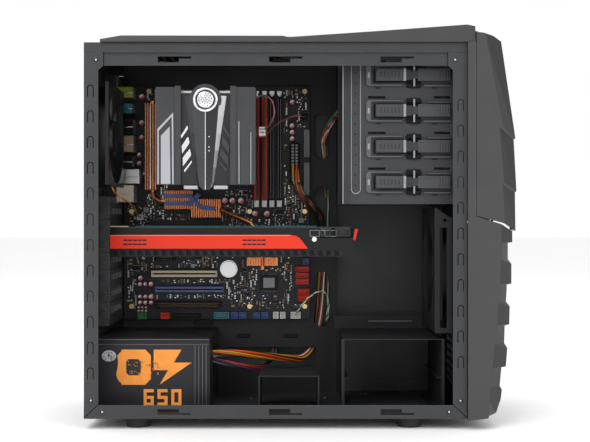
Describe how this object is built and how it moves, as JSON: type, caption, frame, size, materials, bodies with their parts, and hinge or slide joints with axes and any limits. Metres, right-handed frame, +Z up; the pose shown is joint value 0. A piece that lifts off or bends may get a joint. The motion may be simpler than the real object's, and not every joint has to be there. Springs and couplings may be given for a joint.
{
  "type": "desktop computer tower",
  "caption": "Steel tower case with its side panel off, holding a board, tall processor cooler, long graphics card, power supply, fans, drive bays and cables.",
  "frame": {"origin": "middle of the footprint, on the surface the feet stand on", "axes": "+X from the rear to the front, -Y the open left side, +Z up"},
  "size_m": [0.5066, 0.23, 0.48],
  "materials": {
    "painted_steel": "fine textured powder coat",
    "dark_plastic": "satin moulded",
    "light_plastic": "fine matt moulded",
    "rubber": "matt",
    "zinc": "zinc plated",
    "brass": "plain",
    "circuit_board": "solder mask",
    "copper": "plated copper fins",
    "can_white": "sleeved cans",
    "blue_plastic": "moulded sockets",
    "red_plastic": "moulded",
    "orange_plastic": "moulded sockets",
    "aluminium": "bare fins",
    "grey_plastic": "satin metallic paint",
    "cable_sleeve": "braided sleeve",
    "lead_wire": "coloured wires"
  },
  "bodies": {
    "chassis": {"base_pan": "painted_steel", "rear_panel": "painted_steel", "roof_panel": "painted_steel", "front_plate": "painted_steel", "board_tray": "painted_steel", "chassis_rivets": "zinc", "feet": "rubber", "top_cover": "light_plastic", "mesh_panels": "painted_steel", "front_bezel": "light_plastic", "front_armour": "light_plastic", "bay_covers": "dark_plastic", "port_panel": "dark_plastic", "bay_cage": "painted_steel", "bay_lock_bases": "dark_plastic", "drive_cages": "painted_steel", "fan_bracket": "painted_steel", "front_fan_frame": "dark_plastic", "rear_fan_frame": "dark_plastic", "slot_covers": "painted_steel", "padlock_loop": "zinc", "motherboard": "circuit_board", "board_heatsinks": "copper", "capacitors": "can_white", "expansion_slots": "blue_plastic", "board_sockets": "red_plastic", "rear_ports": "zinc", "io_shield": "zinc", "coin_cell": "zinc", "memory_slots": "orange_plastic", "memory_modules": "circuit_board", "board_standoffs": "brass", "processor": "aluminium", "cooler_base": "copper", "cooler_fins": "aluminium", "cooler_fan_frame": "dark_plastic", "cooler_shroud": "grey_plastic", "card_bracket": "painted_steel", "card_board": "circuit_board", "card_shroud": "dark_plastic", "card_side_panel": "red_plastic", "psu_case": "painted_steel", "psu_fan_frame": "dark_plastic", "psu_inlet": "dark_plastic", "power_cables": "cable_sleeve", "signal_leads": "lead_wire"},
    "side_panel": {"side_panel": "painted_steel", "thumbscrews": "zinc"},
    "power_button": {"power_button": "light_plastic"},
    "reset_button": {"reset_button": "light_plastic"},
    "bay_lock_1": {"bay_lock_lever_1": "light_plastic"},
    "bay_lock_2": {"bay_lock_lever_2": "light_plastic"},
    "bay_lock_3": {"bay_lock_lever_3": "light_plastic"},
    "bay_lock_4": {"bay_lock_lever_4": "light_plastic"},
    "front_fan_rotor": {"front_fan_rotor": "dark_plastic"},
    "rear_fan_rotor": {"rear_fan_rotor": "dark_plastic"},
    "cooler_fan_rotor": {"cooler_fan_rotor": "red_plastic"},
    "card_blower": {"card_blower": "dark_plastic"},
    "psu_fan_rotor": {"psu_fan_rotor": "dark_plastic"},
    "psu_switch": {"psu_switch": "dark_plastic"}
  },
  "joints": [
    {"name": "side_panel_slide", "type": "slide", "parent": "chassis", "child": "side_panel", "axis": [-1, 0, 0], "range_m": [0, 0.013]},
    {"name": "power_button_press", "type": "slide", "parent": "chassis", "child": "power_button", "axis": [-0.5299, 0, -0.848], "range_m": [0, 0.002], "stiffness_N_per_m": 300, "springref_m": -0.002},
    {"name": "reset_button_press", "type": "slide", "parent": "chassis", "child": "reset_button", "axis": [-0.5299, 0, -0.848], "range_m": [0, 0.0015], "stiffness_N_per_m": 300, "springref_m": -0.002},
    {"name": "bay_lock_1_rock", "type": "hinge", "parent": "chassis", "child": "bay_lock_1", "pos_m": [0.13705, -0.0817, 0.2845], "axis": [0, 0, 1], "range_deg": [-6, 0]},
    {"name": "bay_lock_2_rock", "type": "hinge", "parent": "chassis", "child": "bay_lock_2", "pos_m": [0.13705, -0.0817, 0.3264], "axis": [0, 0, 1], "range_deg": [-6, 0]},
    {"name": "bay_lock_3_rock", "type": "hinge", "parent": "chassis", "child": "bay_lock_3", "pos_m": [0.13705, -0.0817, 0.3683], "axis": [0, 0, 1], "range_deg": [-6, 0]},
    {"name": "bay_lock_4_rock", "type": "hinge", "parent": "chassis", "child": "bay_lock_4", "pos_m": [0.13705, -0.0817, 0.4102], "axis": [0, 0, 1], "range_deg": [-6, 0]},
    {"name": "front_fan_spin", "type": "hinge", "parent": "chassis", "child": "front_fan_rotor", "pos_m": [0.18325, 0, 0.181], "axis": [-1, 0, 0], "continuous": true},
    {"name": "rear_fan_spin", "type": "hinge", "parent": "chassis", "child": "rear_fan_rotor", "pos_m": [-0.23275, -0.035, 0.341], "axis": [1, 0, 0], "continuous": true},
    {"name": "cooler_fan_spin", "type": "hinge", "parent": "chassis", "child": "cooler_fan_rotor", "pos_m": [-0.10715, -0.023, 0.3392], "axis": [1, 0, 0], "continuous": true},
    {"name": "card_blower_spin", "type": "hinge", "parent": "chassis", "child": "card_blower", "pos_m": [0.02775, 0.024, 0.2151], "axis": [0, 0, 1], "continuous": true},
    {"name": "psu_fan_spin", "type": "hinge", "parent": "chassis", "child": "psu_fan_rotor", "pos_m": [-0.17375, 0.011, 0.025], "axis": [0, 0, 1], "continuous": true},
    {"name": "psu_switch_rock", "type": "hinge", "parent": "chassis", "child": "psu_switch", "pos_m": [-0.23875, 0, 0.055], "axis": [0, 1, 0], "range_deg": [0, 18]}
  ]
}
